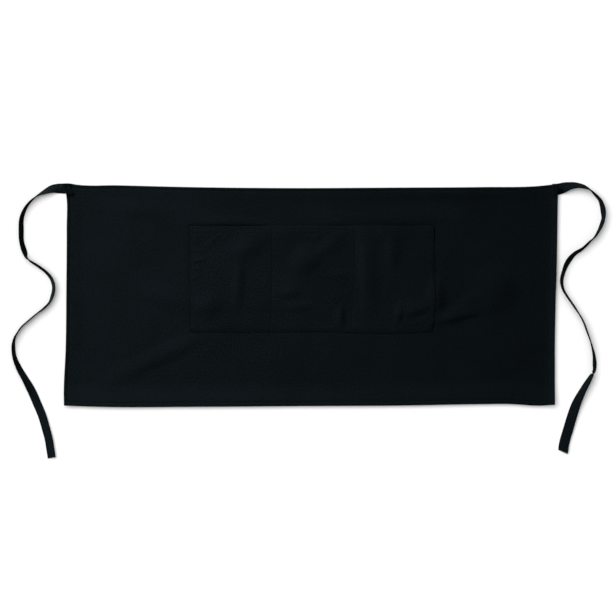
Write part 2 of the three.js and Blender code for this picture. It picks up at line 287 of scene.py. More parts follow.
# Ties: folded cloth, flat where they are sewn on and at their free ends, on edge along the curves
# between. Lean turns a tie about its middle line: 0 is flat, 90 on edge and 180 turned over. The edge
# next to the panel goes up first. Flare is extra width near the sewn end.
TIE_THICKNESS = 0.0022
TIE_CLEAR = 0.0002  # off the ground
TIE_CELL = 0.0015
TIE_STITCH = 0.0020  # from its edges to its stitches
TIE_GROOVE = 0.0002
TIE_EDGE_TURNS = (0, 30, 60)  # where points stand round its edges
TIE_ROW_LINES = (-0.0006, 0, 0.0007)  # lines of points at its stitches, inwards from the row
TIE_INNER_LINE = 0.45  # one more, as a share of the way from its middle to the row
TIE_SEWN = 0.014  # how far along it its stitches begin, just past the panel's edge
TIES = [
    Tie(
        "tie_left",
        width=0.0156,
        side=1,
        # painted light: how much lighter the tie's colour is painted
        shade=1.10,
        length=0.623,
        leaves=(-0.4530, 0.1960, 0.0010),
        route=[
            Bend(-0.4400, 0.1950, 0, flare=0.0028),
            Bend(-0.4500, 0.1952, 0, flare=0.0028),
            Bend(-0.4600, 0.1955, 0, flare=0.0024),
            Bend(-0.4720, 0.1950, 20, flare=0.0005),
            Bend(-0.4880, 0.1890, 59),
            Bend(-0.4990, 0.1835, 81),
            Bend(-0.5075, 0.1775, 90),
            Bend(-0.5210, 0.1625, 102),
            Bend(-0.5300, 0.1410, 114),
            Bend(-0.5310, 0.1195, 120),
            Bend(-0.5300, 0.0975, 117),
            Bend(-0.5235, 0.0755, 114),
            Bend(-0.5215, 0.0690, 98),
            Bend(-0.5165, 0.0641, 87),
            Bend(-0.5000, 0.0530, 77),
            Bend(-0.4860, 0.0425, 75),
            Bend(-0.4765, 0.0315, 70),
            Bend(-0.4712, 0.0150, 69),
            Bend(-0.4740, -0.0020, 70),
            Bend(-0.4790, -0.0135, 79),
            Bend(-0.4890, -0.0240, 81),
            Bend(-0.5035, -0.0350, 88),
            Bend(-0.5170, -0.0465, 86),
            Bend(-0.5295, -0.0575, 90),
            Bend(-0.5375, -0.0685, 90),
            Bend(-0.5430, -0.0790, 96),
            Bend(-0.5450, -0.0900, 106),
            Bend(-0.5435, -0.1120, 112),
            Bend(-0.5350, -0.1340, 126),
            Bend(-0.5225, -0.1560, 139),
            Bend(-0.5110, -0.1780, 168),
            Bend(-0.5015, -0.2000, 178),
            Bend(-0.4925, -0.2220, 187),
            Bend(-0.4860, -0.2440, 192),
            Bend(-0.4803, -0.2660, 194),
            Bend(-0.4772, -0.2850, 194),
            Bend(-0.4750, -0.2986, 194),
        ],
    ),
    Tie(
        "tie_right",
        width=0.0190,
        side=-1,
        # painted light: how much lighter the tie's colour is painted
        shade=1.35,
        length=0.615,
        leaves=(0.4535, 0.1948, 0.0010),
        route=[
            Bend(0.4440, 0.1935, 0, flare=0.0020),
            Bend(0.4560, 0.1945, 0, flare=0.0014),
            Bend(0.4640, 0.1970, 15, flare=0.0007),
            Bend(0.4750, 0.2000, 42),
            Bend(0.4840, 0.2010, 54),
            Bend(0.4930, 0.2005, 65),
            Bend(0.5025, 0.1980, 72),
            Bend(0.5090, 0.1950, 82),
            Bend(0.5225, 0.1830, 98),
            Bend(0.5300, 0.1745, 103),
            Bend(0.5345, 0.1630, 112),
            Bend(0.5365, 0.1520, 114),
            Bend(0.5365, 0.1410, 105),
            Bend(0.5335, 0.1300, 105),
            Bend(0.5285, 0.1190, 99),
            Bend(0.5220, 0.1080, 94),
            Bend(0.5110, 0.0970, 82),
            Bend(0.4990, 0.0855, 78),
            Bend(0.4825, 0.0745, 70),
            Bend(0.4735, 0.0640, 63),
            Bend(0.4635, 0.0420, 70),
            Bend(0.4600, 0.0260, 72),
            Bend(0.4635, 0.0090, 78),
            Bend(0.4700, -0.0020, 81),
            Bend(0.4850, -0.0240, 83),
            Bend(0.4985, -0.0460, 90),
            Bend(0.5070, -0.0680, 90),
            Bend(0.5145, -0.0900, 85),
            Bend(0.5195, -0.1120, 75),
            Bend(0.5205, -0.1270, 68),
            Bend(0.5200, -0.1375, 74),
            Bend(0.5180, -0.1425, 78),
            Bend(0.5165, -0.1453, 99),
            Bend(0.5150, -0.1475, 104),
            Bend(0.5100, -0.1560, 113),
            Bend(0.4975, -0.1780, 128),
            Bend(0.4870, -0.2000, 148),
            Bend(0.4795, -0.2220, 161),
            Bend(0.4730, -0.2440, 166),
            Bend(0.4638, -0.2790, 168),
            Bend(0.4630, -0.2860, 168),
            Bend(0.4623, -0.2876, 168),
        ],
    ),
]

# Small gathers in the ties, just past where they leave the panel.
TIE_PUCKERS = [
    Fold(-0.4580, 0.1960, 64, 0.026, 0.0034, 0.0026, 0.0012),
    Fold(-0.4655, 0.1955, 58, 0.024, 0.0040, 0.0034, 0.0008),
    Fold(0.4585, 0.1985, 40, 0.018, 0.0030, 0.0028, 0.0010),
    Fold(0.4600, 0.1915, -25, 0.018, 0.0030, 0.0028, 0.0010),
]

# Stitches
STITCH_PITCH = 0.0030
STITCH_LENGTH = 0.0025
STITCH_RADIUS = 0.00023
STITCH_SIDES = 6
ROW_STEP = 0.001  # between the points that a row of stitches follows
FACING_STEP = 0.0006  # to each side, to see which way a cloth faces
TACK_PITCH = 0.0006
TACK_WIDTH = 0.0024
TACK_LENGTH = 0.0085
CORNER_BOX = 0.0045  # from the edges to the box of stitches that holds a tie
CORNER_BOX_WIDTH = 0.0100
CORNER_BOX_HEIGHT = 0.0145

# Rings of points along a stitch, by the share of its length. The height over the cloth and the radius
# are in radii of the thread.
STITCH_RINGS = [
    Ring(0, -1.2, 0.6),
    Ring(0.14, 0.35, 1),
    Ring(0.5, 0.75, 1.05),
    Ring(0.86, 0.35, 1),
    Ring(1, -1.2, 0.6),
]

# Finer lines of points where the cloth bends sharply, as shares of the widths named beside them.
ROUND_LINES = (0, 0.08, 0.27, 0.55, 1)  # EDGE_ROUND
GROOVE_LINES = (-1.7, -0.8, 0, 0.8, 1.7)  # GROOVE_HALF
DENT_LINES = (-1.6, -0.8, 0, 0.4, 0.8, 1.3, 2)  # POCKET_DENT_HALF
SEAT_LINES = (0, 0.25, 0.5, 0.75, 1)  # SEAT_RAMP
DIVIDER_LINES = (-2, -1.4, -1, -0.5, 0, 0.5, 1, 1.4, 2)  # DIVIDER_HALF

# How much lighter or darker the cloth's colour is painted along its hems, seams and edges than in between.
# painted light and shade on the hems: a painted highlight on the right one, painted shade on the others
HEM_SHADE = {"left": 0.86, "right": 1.14, "bottom": 0.94, "top": 0.92}
CORNER_SHADE = 0.72  # where the panel lies over the ties
SEAM_SHADE = 0.50  # painted shadow round the pocket, and beside the ties
SEAM_SHADE_HALF = 0.0006
LIP_SHADE = 1.15  # a painted highlight along the edge of the pocket's mouth
LIP_SHADE_HALF = 0.0012
MOUTH_SHADE_HALF = 0.0040
MOUTH_SHADE = [  # painted shadow on the panel, where it slips in behind the pocket's mouth
    Wear(-0.224, 0.62),
    Wear(-0.200, 0.56),
    Wear(-0.095, 0.56),
    Wear(-0.070, 0.86),
    Wear(0.000, 0.90),
    Wear(0.030, 0.72),
    Wear(0.060, 0.72),
    Wear(0.080, 0.86),
    Wear(0.130, 0.82),
    Wear(0.160, 0.72),
    Wear(0.224, 0.72),
]

# Looks, in linear colour
CLOTH_COLOUR = (0.00084, 0.00154, 0.00194)
CLOTH_TONES = [Tone(0.34, 0.30), Tone(0.66, 1.70)]  # shares of the colour, by the unevenness
CLOTH_ROUGHNESS = (0.86, 0.98)
TWILL_PITCH = 0.0009
TWILL_TURN = 63
TWILL_UNEVEN = 0.5
YARN_PITCH = 0.00055
YARN_UNEVEN = 0.8
WEAVE_RISE = 0.00012
WEAVE_STRENGTH = 0.35
PATCH_SCALE = 9.0  # broad patches in a metre of cloth
SLUB_RISE = 0.0008  # thick and thin places in the yarns
SLUB_SCALE = (480.0, 440.0, 1.0)  # of them in a metre, across and up the cloth
SLUB_SHARE = 0.88  # of the unevenness of the tone, the patches having the rest
THREAD_COLOUR = (0.0002, 0.0014, 0.0014)
THREAD_TONES = [Tone(0, 0.75), Tone(1, 1.25)]
THREAD_ROUGHNESS = (0.75, 0.9)
TWIST_SCALE = 2600.0
TWIST_RISE = 0.00008
TWIST_STRENGTH = 0.3
TEXTURE_PERIOD = math.pi / 10  # of a wave texture at scale 1
CLOTH_MAP = "Cloth"  # names of the layers that the meshes carry for the materials; the second holds painted light and shade
SHADE_MAP = "Shade"


def smooth(t):
    """From 0 to 1, with an even start and end."""
    t = np.clip(t, 0, 1)
    return t * t * (3 - 2 * t)


def bell(distance, half):
    """1 on a line, fading out to both sides of it."""
    return np.exp(-((distance / half) ** 2))


def unit(vectors):
    return vectors / np.linalg.norm(vectors, axis=-1, keepdims=True)


def through(places, values, at):
    """A smooth curve through a table's rows, read at any places along it."""
    places = np.asarray(places, float)
    values = np.asarray(values, float)
    slopes = np.gradient(values, places)
    i = np.clip(np.searchsorted(places, at) - 1, 0, len(places) - 2)
    run = places[i + 1] - places[i]
    t = np.clip((at - places[i]) / run, 0, 1)
    start = (2 * t**3 - 3 * t**2 + 1) * values[i] + (t**3 - 2 * t**2 + t) * run * slopes[i]
    end = (3 * t**2 - 2 * t**3) * values[i + 1] + (t**3 - t**2) * run * slopes[i + 1]
    return start + end


def out_at(bows, at):
    return through([bow.at for bow in bows], [bow.out for bow in bows], at)


def edges_out(bows, u, v):
    """How far out each edge of a cloth stands, abreast of the points."""
    return {side: out_at(rows, v if side in ("left", "right") else u) for side, rows in bows.items()}


def insets(rect, u, v):
    """How far points lie inside each edge of a rectangle."""
    return {"left": u - rect.left, "right": rect.right - u, "bottom": v - rect.bottom, "top": rect.top - v}


def outline_insets(rect, bows, x, y):
    """How far places lie inside each bowed edge of a cloth."""
    out = edges_out(bows, x, y)
    return {side: distance + out[side] for side, distance in insets(rect, x, y).items()}


def nearest(inset, sides=SIDES):
    """How far points lie inside the nearest of some edges."""
    return np.minimum.reduce([inset[side] for side in sides])


def bowed(rect, bows, u, v):
    """Where a point of a true rectangle of cloth lies, with its edges as they bow."""
    out = edges_out(bows, u, v)
    across = (u - rect.left) / (rect.right - rect.left)
    up = (v - rect.bottom) / (rect.top - rect.bottom)
    x = u - (1 - across) * out["left"] + across * out["right"]
    y = v - (1 - up) * out["bottom"] + up * out["top"]
    return x, y


def panel_place(u, v):
    return bowed(PANEL, PANEL_BOW, u, v)


def pocket_place(u, v):
    x, y = bowed(POCKET, POCKET_BOW, u, v)
    for divider in DIVIDERS:
        aside = np.abs(u - divider.x) / WANDER_RUN
        x = x + out_at(divider.wander, v) * (1 - smooth(aside))
    return x, y


def folded(folds, u, v):
    """How far a table of folds lifts the cloth."""
    rise = np.zeros_like(u)
    for fold in folds:
        turn = math.radians(fold.turn)
        along = (u - fold.x) * math.cos(turn) + (v - fold.y) * math.sin(turn)
        aside = (v - fold.y) * math.cos(turn) - (u - fold.x) * math.sin(turn)
        spread = np.where(aside > 0, fold.left, fold.right)
        reach = np.minimum(1, np.hypot(along / (fold.length / 2), aside / spread))
        rise += fold.rise * (0.5 + 0.5 * np.cos(np.pi * reach))
    return rise


def waves(u, v, seed, height):
    """Gentle unevenness in all directions."""
    draw = np.random.default_rng(seed)
    lengths = draw.uniform(WAVE_SHORTEST, WAVE_LONGEST, WAVE_COUNT)
    headings = draw.uniform(0, 2 * np.pi, WAVE_COUNT)
    starts = draw.uniform(0, 2 * np.pi, WAVE_COUNT)
    total = np.zeros_like(u)
    for length, heading, start in zip(lengths, headings, starts):
        along = u * math.cos(heading) + v * math.sin(heading)
        total += length / WAVE_LONGEST * np.sin(2 * np.pi * along / length + start)
    return height * total / math.sqrt(WAVE_COUNT / 4)


def resting(rise):
    """Keeps cloth from sinking into what it lies on."""
    return REST_SOFTNESS * np.logaddexp(0, rise / REST_SOFTNESS)


def groove(distance, depth):
    return depth * bell(distance, GROOVE_HALF)


def in_hem(inset, hem):
    """1 where a hem is turned under, 0 further in."""
    return 1 - smooth((inset - hem) / HEM_STEP + 0.5)


def hemmed_faces(rise, inset, hems, layers, stitches, grooves):
    """Heights of a hemmed cloth's front and back. The turned layers lift the cloth next to them too."""
    lift = 0
    own = 0
    for side, distance in inset.items():
        lift = lift + layers[side] * (1 - smooth((distance - hems[side]) / HEM_RUN))
        own = own + layers[side] * in_hem(distance, hems[side])
    front = rise + CLOTH * (lift + 1)
    back = rise + CLOTH * (lift - own)
    for side, distance in inset.items():
        front = front - groove(distance - stitches[side], grooves[side])
    return front, back


def rounded(front, back, inset):
    """Rounds the faces into each other along the edges."""
    share = np.sqrt(1 - (1 - np.clip(nearest(inset) / EDGE_ROUND, 0, 1)) ** 2)
    middle = (front + back) / 2
    return middle + (front - middle) * share, middle + (back - middle) * share


def pocket_dent(x, y):
    """How far the panel sinks along the pocket's edge."""
    inset = outline_insets(POCKET, POCKET_BOW, x, y)
    outside = np.minimum(nearest(inset), 0)
    sunk = [
        POCKET_DENT[side] * (1 - smooth((distance - POCKET_SEAM) / POCKET_DENT_RUN))
        for side, distance in inset.items()
    ]
    return np.maximum.reduce(sunk) * bell(outside, POCKET_DENT_HALF)


def panel_lie(x, y):
    """How far the loose panel stands off the ground."""
    uneven = PANEL_LOFT + waves(x, y, SEEDS["panel"], PANEL_WAVE)
    return resting(folded(PANEL_FOLDS, x, y) + uneven - pocket_dent(x, y))


def seat_shares(inset, side):
    """How much points of the panel lie over the end of a tie, by their height and by their place across."""
    high = 1 - smooth((inset["top"] - SEAT_Y) / SEAT_RAMP)
    across = 1 - smooth((inset[side] - SEAT_X[side]) / SEAT_RAMP)
    return high, across


def panel_faces(u, v):
    """Heights of the panel's front and back over the ground."""
    inset = insets(PANEL, u, v)
    rise = panel_lie(*panel_place(u, v))
    for side, curl in PANEL_CURL.items():
        rise += curl.rise * np.clip(1 - inset[side] / curl.run, 0, 1) ** CURL_EASE
    for side in SEAT_X:
        high, across = seat_shares(inset, side)
        rise += SEAT_RISE * high * across
    front, back = hemmed_faces(rise, inset, PANEL_HEM, PANEL_LAYERS, PANEL_STITCH, PANEL_GROOVE)
    return rounded(front, back, inset)


def pocket_seams():
    """Where the pouches are sewn down, from left to right."""
    return [POCKET.left + POCKET_SEAM, *(divider.x for divider in DIVIDERS), POCKET.right - POCKET_SEAM]


def pouch_slack(u, v):
    """0 along the seams, 1 over the slack middle of each pouch and out to its mouth."""
    seams = pocket_seams()
    across = np.zeros_like(u)
    for left_seam, right_seam in zip(seams, seams[1:]):
        left = left_seam + DIVIDER_HALF
        right = right_seam - DIVIDER_HALF
        share = np.clip((u - left) / (right - left), 0, 1)
        across = np.maximum(across, np.abs(np.sin(np.pi * share)) ** POUCH_FULLNESS)
    up = np.sin(np.pi / 2 * np.clip((v - POCKET.bottom - POCKET_SEAM) / POUCH_RUN, 0, 1))
    return across * up


def seam_distance(u, v):
    """How far a point of the pocket is from the seam nearest to it."""
    to_edge = nearest(insets(POCKET, u, v), SEWN_SIDES) - POCKET_SEAM
    return np.minimum.reduce([to_edge, *(np.abs(u - divider.x) for divider in DIVIDERS)])


def pocket_faces(u, v):
    """Heights of the pocket's front and back over the ground."""
    inset = insets(POCKET, u, v)
    under = panel_lie(*pocket_place(u, v)) + CLOTH
    belly = POUCH_RISE * pouch_slack(u, v)
    loose = smooth(seam_distance(u, v) / SEAM_HOLD)
    creased = (folded(POCKET_FOLDS, u, v) + waves(u, v, SEEDS["pocket"], POCKET_WAVE)) * loose
    puckers = folded(POCKET_PUCKERS + MOUTH_PUCKERS, u, v)
    roll = SEAM_ROLL * bell(inset["bottom"] - SEAM_ROLL_INSET, SEAM_ROLL_HALF)
    rise = under + SEAM_GAP + np.maximum(belly + creased, 0) + puckers + roll
    front, back = hemmed_faces(rise, inset, POCKET_HEM, POCKET_LAYERS, POCKET_STITCH, POCKET_GROOVE)
    for divider in DIVIDERS:
        front = front - groove(u - divider.x, DIVIDER_GROOVE)
    return rounded(front, back, inset)


def panel_surface(u, v):
    return np.stack([*panel_place(u, v), panel_faces(u, v)[0]], axis=-1)


def pocket_surface(u, v):
    return np.stack([*pocket_place(u, v), pocket_faces(u, v)[0]], axis=-1)


def line_shade(distance, depth, half):
    return 1 - (1 - depth) * bell(distance, half)


def panel_shade(u, v):
    """How much lighter or darker the panel's colour is painted at each point: painted light and shade along
    the hems, painted shadow along the seams and above the pocket's mouth, and a darker block over the ties'
    ends.
    """
    inset = insets(PANEL, u, v)
    shades = np.ones_like(u)
    # painted light and shade along the hems
    for side, distance in inset.items():
        shades += (HEM_SHADE[side] - shades) * in_hem(distance, PANEL_HEM[side])
    for side in SEAT_X:
        high, across = seat_shares(inset, side)
        shades += (CORNER_SHADE - shades) * (high * across)
        # painted shadow along the panel's edge where it lies over a tie
        edge = line_shade(inset[side] - SEAM_SHADE_HALF, SEAM_SHADE, SEAM_SHADE_HALF)
        shades *= 1 - high * (1 - edge)
    x, y = panel_place(u, v)
    to_pocket = outline_insets(POCKET, POCKET_BOW, x, y)
    to_edge = nearest(to_pocket)
    # painted shadow on the panel along the pocket's sewn edges and above its mouth
    mouth = through([wear.at for wear in MOUTH_SHADE], [wear.shade for wear in MOUTH_SHADE], x)
    at_seam = line_shade(to_edge, SEAM_SHADE, SEAM_SHADE_HALF)
    at_mouth = line_shade(to_edge, mouth, MOUTH_SHADE_HALF)
    return shades * np.where(to_pocket["top"] > to_edge, at_seam, at_mouth)


def pocket_shade(u, v):
    """How much lighter or darker the pocket's colour is painted at each point: painted shadow along its
    seams and dividers, a painted highlight along its mouth, and a paler band beside a divider.
    """
    inset = insets(POCKET, u, v)
    # painted shadow along the pocket's sewn edges
    shades = line_shade(nearest(inset, SEWN_SIDES), SEAM_SHADE, SEAM_SHADE_HALF)
    # a painted highlight along the mouth's edge
    shades = shades * line_shade(inset["top"], LIP_SHADE, LIP_SHADE_HALF)
    for divider in DIVIDERS:
        # painted shadow along each dividing row, and a paler band to each side of it
        shades = shades * line_shade(u - divider.x, divider.shade, SEAM_SHADE_HALF)
        shades = shades * line_shade(u - divider.x, divider.wear, PALE_BAND_HALF)
    return shades


def grid_lines(low, high, step, fine):
    """Even lines from low to high, with finer ones, to the micrometre, where a hem or a seam needs them."""
    fine = np.unique(np.round([f for f in fine if low <= f <= high], 6))
    even = np.linspace(low, high, round((high - low) / step) + 1)
    clear = np.abs(even[:, None] - fine[None, :]).min(axis=1) > step / 2
    return np.unique(np.concatenate([even[clear], fine]))


def edge_lines(edge, inward, hem, stitch):
    """Places of grid lines over a turned edge: its round, its stitches and the end of its layers."""
    round_over = [EDGE_ROUND * share for share in ROUND_LINES]
    sewn = [stitch + GROOVE_HALF * share for share in GROOVE_LINES]
    step = [hem - HEM_STEP / 2, hem + HEM_STEP / 2]
    return [edge + inward * inset for inset in round_over + sewn + step]


def hem_lines(rect, hems, stitches):
    """Places of grid lines over all the edges of a hemmed cloth, across it and up it."""
    across = edge_lines(rect.left, 1, hems["left"], stitches["left"])
    across += edge_lines(rect.right, -1, hems["right"], stitches["right"])
    up = edge_lines(rect.bottom, 1, hems["bottom"], stitches["bottom"])
    up += edge_lines(rect.top, -1, hems["top"], stitches["top"])
    return across, up


def new_mesh(name, points, faces, material, uvs=None, shades=None):
    mesh = bpy.data.meshes.new(name)
    mesh.from_pydata(points.tolist(), [], faces)
    if uvs is not None:
        corners = np.empty(len(mesh.loops), np.int32)
        mesh.loops.foreach_get("vertex_index", corners)
        layer = mesh.uv_layers.new(name=CLOTH_MAP)
        layer.data.foreach_set("uv", uvs[corners].astype(np.float32).ravel())
        shade_of = mesh.attributes.new(SHADE_MAP, "FLOAT", "POINT")
        shade_of.data.foreach_set("value", shades.astype(np.float32))
    mesh.polygons.foreach_set("use_smooth", np.ones(len(mesh.polygons), bool))
    mesh.materials.append(material)
    mesh.update()
    piece = bpy.data.objects.new(name, mesh)
    bpy.context.scene.collection.objects.link(piece)
    return piece


def quads(a, b, c, d):
    return np.stack([a, b, c, d], axis=-1).reshape(-1, 4).tolist()


def closed_cloth(name, place_at, faces_at, shade_at, columns, rows, material):
    """A closed cloth over a grid. Its front and back share the points along the edges."""
    u, v = np.meshgrid(columns, rows)
    x, y = place_at(u, v)
    front, back = faces_at(u, v)
    over = np.arange(u.size).reshape(u.shape)
    under = over.copy()
    inner = under[1:-1, 1:-1]
    inner[...] = u.size + np.arange(inner.size).reshape(inner.shape)
    points = np.concatenate(
        [
            np.stack([x, y, front], axis=-1).reshape(-1, 3),
            np.stack([x, y, back], axis=-1)[1:-1, 1:-1].reshape(-1, 3),
        ]
    )
    flat = np.stack([u, v], axis=-1)
    uvs = np.concatenate([flat.reshape(-1, 2), flat[1:-1, 1:-1].reshape(-1, 2)])
    shades = shade_at(*uvs.T)
    faces = quads(over[:-1, :-1], over[:-1, 1:], over[1:, 1:], over[1:, :-1])
    faces += quads(under[:-1, :-1], under[1:, :-1], under[1:, 1:], under[:-1, 1:])
    return new_mesh(name, points, faces, material, uvs, shades)


def build_panel(material):
    fine_x, fine_y = hem_lines(PANEL, PANEL_HEM, PANEL_STITCH)
    for share in DENT_LINES:
        place = POCKET_DENT_HALF * share
        fine_x += [POCKET.left - place, POCKET.right + place]
        fine_y += [POCKET.bottom - place, POCKET.top + place]
    for share in SEAT_LINES:
        place = SEAT_RAMP * share
        fine_x += [PANEL.left + SEAT_X["left"] + place, PANEL.right - SEAT_X["right"] - place]
        fine_y.append(PANEL.top - SEAT_Y - place)
    columns = grid_lines(PANEL.left, PANEL.right, PANEL_CELL, fine_x)
    rows = grid_lines(PANEL.bottom, PANEL.top, PANEL_CELL, fine_y)
    return closed_cloth("panel_cloth", panel_place, panel_faces, panel_shade, columns, rows, material)


def build_pocket(material):
    fine_x, fine_y = hem_lines(POCKET, POCKET_HEM, POCKET_STITCH)
    for divider in DIVIDERS:
        fine_x += [divider.x + DIVIDER_HALF * share for share in DIVIDER_LINES]
    columns = grid_lines(POCKET.left, POCKET.right, POCKET_CELL, fine_x)
    rows = grid_lines(POCKET.bottom, POCKET.top, POCKET_CELL, fine_y)
    return closed_cloth("pocket_patch", pocket_place, pocket_faces, pocket_shade, columns, rows, material)


def run_along(points):
    """How far along a line of points each of them lies."""
    steps = np.linalg.norm(np.diff(points, axis=0), axis=1)
    return np.concatenate([[0], np.cumsum(steps)])


def tie_frame(tie):
    """A tie's middle line, its width and thickness directions, its width, and how far along these are."""
    places = np.array([(bend.x, bend.y) for bend in tie.route])
    chords = run_along(places)
    at = np.linspace(0, chords[-1], round(chords[-1] / TIE_CELL) + 1)
    x, y = (through(chords, places[:, axis], at) for axis in (0, 1))
    lean = np.radians(through(chords, [bend.lean for bend in tie.route], at))
    along = unit(np.stack([np.gradient(x), np.gradient(y), np.zeros_like(x)], axis=-1))
    up = np.array([0, 0, 1.0])
    flat = np.cross(up, along) * tie.side
    wide = flat * np.cos(lean)[:, None] + up * np.sin(lean)[:, None]
    thick = np.cross(along, wide)
    breadth = tie.width + through(chords, [bend.flare for bend in tie.route], at)
    height = np.abs(wide[:, 2]) * breadth / 2 + np.abs(thick[:, 2]) * TIE_THICKNESS / 2
    middle = np.stack([x, y, height + TIE_CLEAR], axis=-1)
    return middle, wide, thick, breadth, at


def tie_section(breadth):
    """Half of a tie's section, as places across it and the half thickness there, from edge to edge."""
    half = breadth / 2
    row = half - TIE_STITCH
    bend = TIE_THICKNESS / 2
    inner = [-half + bend, *(-row + line for line in TIE_ROW_LINES), -row * TIE_INNER_LINE]
    inner = inner + [0.0] + [-place for place in reversed(inner)]
    face = [bend - groove(abs(place) - row, TIE_GROOVE) for place in inner]
    turns = [math.radians(angle) for angle in TIE_EDGE_TURNS]
    edge = [(-half + bend * (1 - math.cos(turn)), bend * math.sin(turn)) for turn in turns]
    return edge + list(zip(inner, face)) + [(-place, thick) for place, thick in reversed(edge)]


def gathered(points):
    """Points of a tie, lifted by its gathers."""
    lift = folded(TIE_PUCKERS, points[..., 0], points[..., 1])
    return np.concatenate([points[..., :2], points[..., 2:] + lift[..., None]], axis=-1)


def end_cap(ring, count, order):
    """Closes a tie's end, in strips between the two halves of its section."""
    top = ring[:count]
    bottom = np.concatenate([ring[:1], ring[count:][::-1], ring[count - 1 : count]])
    strips = []
    for i in range(count - 1):
        corners = list(dict.fromkeys([int(top[i]), int(bottom[i]), int(bottom[i + 1]), int(top[i + 1])]))
        strips.append(corners[::order])
    return strips


def build_tie(tie, material):
    middle, wide, thick, breadth, at = tie_frame(tie)
    top = np.array([tie_section(b) for b in breadth])
    bottom = top[:, 1:-1][:, ::-1] * np.array([1, -1])
    section = np.concatenate([top, bottom], axis=1)
    across = section[..., :1] * wide[:, None, :]
    points = gathered(middle[:, None, :] + across + section[..., 1:] * thick[:, None, :])
    index = np.arange(section[..., 0].size).reshape(section.shape[:2])
    turn = np.roll(index, -1, axis=1)
    faces = quads(index[:-1], turn[:-1], turn[1:], index[1:])
    for row, order in ((0, 1), (-1, -1)):
        faces += end_cap(index[row], top.shape[1], order)
    uvs = np.stack([np.broadcast_to(at[:, None], index.shape), section[..., 0]], axis=-1)
    uvs = uvs.reshape(-1, 2)
    shades = np.full(len(uvs), tie.shade)
    return new_mesh(tie.name + "_cloth", points.reshape(-1, 3), faces, material, uvs, shades)


def facing(surface, u, v):
    """Which way a cloth faces at each point."""
    across = surface(u + FACING_STEP, v) - surface(u - FACING_STEP, v)
    up = surface(u, v + FACING_STEP) - surface(u, v - FACING_STEP)
    return unit(np.cross(across, up))


def sewn_row(surface, start, end):
    """A row's points on a cloth, and the way the cloth faces there."""
    count = max(3, round(math.dist(start, end) / ROW_STEP))
    u = np.linspace(start[0], end[0], count)
    v = np.linspace(start[1], end[1], count)
    return surface(u, v), facing(surface, u, v)


def stitch_rings(points, normals):
    """Rings of points round each stitch of a row, which comes up out of the cloth and goes back in."""
    along = run_along(points)
    count = max(1, round(along[-1] / STITCH_PITCH))
    pitch = along[-1] / count
    length = pitch * STITCH_LENGTH / STITCH_PITCH
    share, lift, radius = np.array(STITCH_RINGS).T
    at = (np.arange(count) + 0.5)[:, None] * pitch + (share - 0.5) * length
    middle = np.stack([np.interp(at, along, points[:, axis]) for axis in range(3)], axis=-1)
    up = unit(np.stack([np.interp(at, along, normals[:, axis]) for axis in range(3)], axis=-1))
    ahead = unit(np.gradient(middle, axis=1))
    side = np.cross(up, ahead)
    middle = middle + up * (STITCH_RADIUS * lift)[:, None]
    angles = np.linspace(0, 2 * np.pi, STITCH_SIDES, endpoint=False)
    spokes = np.cos(angles)[:, None] * side[:, :, None, :] + np.sin(angles)[:, None] * up[:, :, None, :]
    return middle[:, :, None, :] + (STITCH_RADIUS * radius)[:, None, None] * spokes


def build_stitches(name, rows, material):
    rings = np.concatenate([stitch_rings(points, normals) for points, normals in rows])
    index = np.arange(rings[..., 0].size).reshape(rings.shape[:3])
    turn = np.roll(index, -1, axis=2)
    faces = quads(index[:, :-1], index[:, 1:], turn[:, 1:], turn[:, :-1])
    faces += index[:, 0].tolist()
    faces += index[:, -1, ::-1].tolist()
    return new_mesh(name, rings.reshape(-1, 3), faces, material)


def corners_of(rect):
    left, right, bottom, top = rect
    return [(left, bottom), (right, bottom), (right, top), (left, top)]


def rectangle_rows(surface, rect):
    corners = corners_of(rect)
    return [sewn_row(surface, a, b) for a, b in zip(corners, corners[1:] + corners[:1])]


def tack_rows(surface, u, top):
    """A bar tack: short stitches side by side across the top of a seam."""
    places = np.arange(top, top - TACK_LENGTH, -TACK_PITCH)
    return [sewn_row(surface, (u - TACK_WIDTH / 2, v), (u + TACK_WIDTH / 2, v)) for v in places]


def panel_rows():
    """Stitches along the hems, and a box of them at each tie."""
    sewn = Rect(
        PANEL.left + PANEL_STITCH["left"],
        PANEL.right - PANEL_STITCH["right"],
        PANEL.bottom + PANEL_STITCH["bottom"],
        PANEL.top - PANEL_STITCH["top"],
    )
    rows = rectangle_rows(panel_surface, sewn)
    top = PANEL.top - CORNER_BOX
    for left in (PANEL.left + CORNER_BOX, PANEL.right - CORNER_BOX - CORNER_BOX_WIDTH):
        box = Rect(left, left + CORNER_BOX_WIDTH, top - CORNER_BOX_HEIGHT, top)
        rows += rectangle_rows(panel_surface, box)
    return rows


def pocket_rows():
    """Stitches along the seams, the bottom and the mouth, and a bar tack at the top of each seam."""
    seams = pocket_seams()
    bottom = POCKET.bottom + POCKET_SEAM
    rim = POCKET.top - EDGE_ROUND
    mouth = POCKET.top - MOUTH_STITCH
    rows = [sewn_row(pocket_surface, (u, bottom), (u, rim)) for u in seams]
    rows += [sewn_row(pocket_surface, (seams[0], v), (seams[-1], v)) for v in (bottom, mouth)]
    for u in seams:
        rows += tack_rows(pocket_surface, u, rim - TACK_PITCH)
    return rows


def tie_rows(tie):
    """Stitches along both edges of a tie, on both of its faces."""
    middle, wide, thick, breadth, at = tie_frame(tie)
    shown = at > TIE_SEWN
    rows = []
    for edge in (-1, 1):
        for face in (-1, 1):
            across = edge * (breadth / 2 - TIE_STITCH)
            out = face * (TIE_THICKNESS / 2 - TIE_GROOVE)
            points = gathered(middle + wide * across[:, None] + thick * out)
            rows.append((points[shown], thick[shown] * face))
    return rows


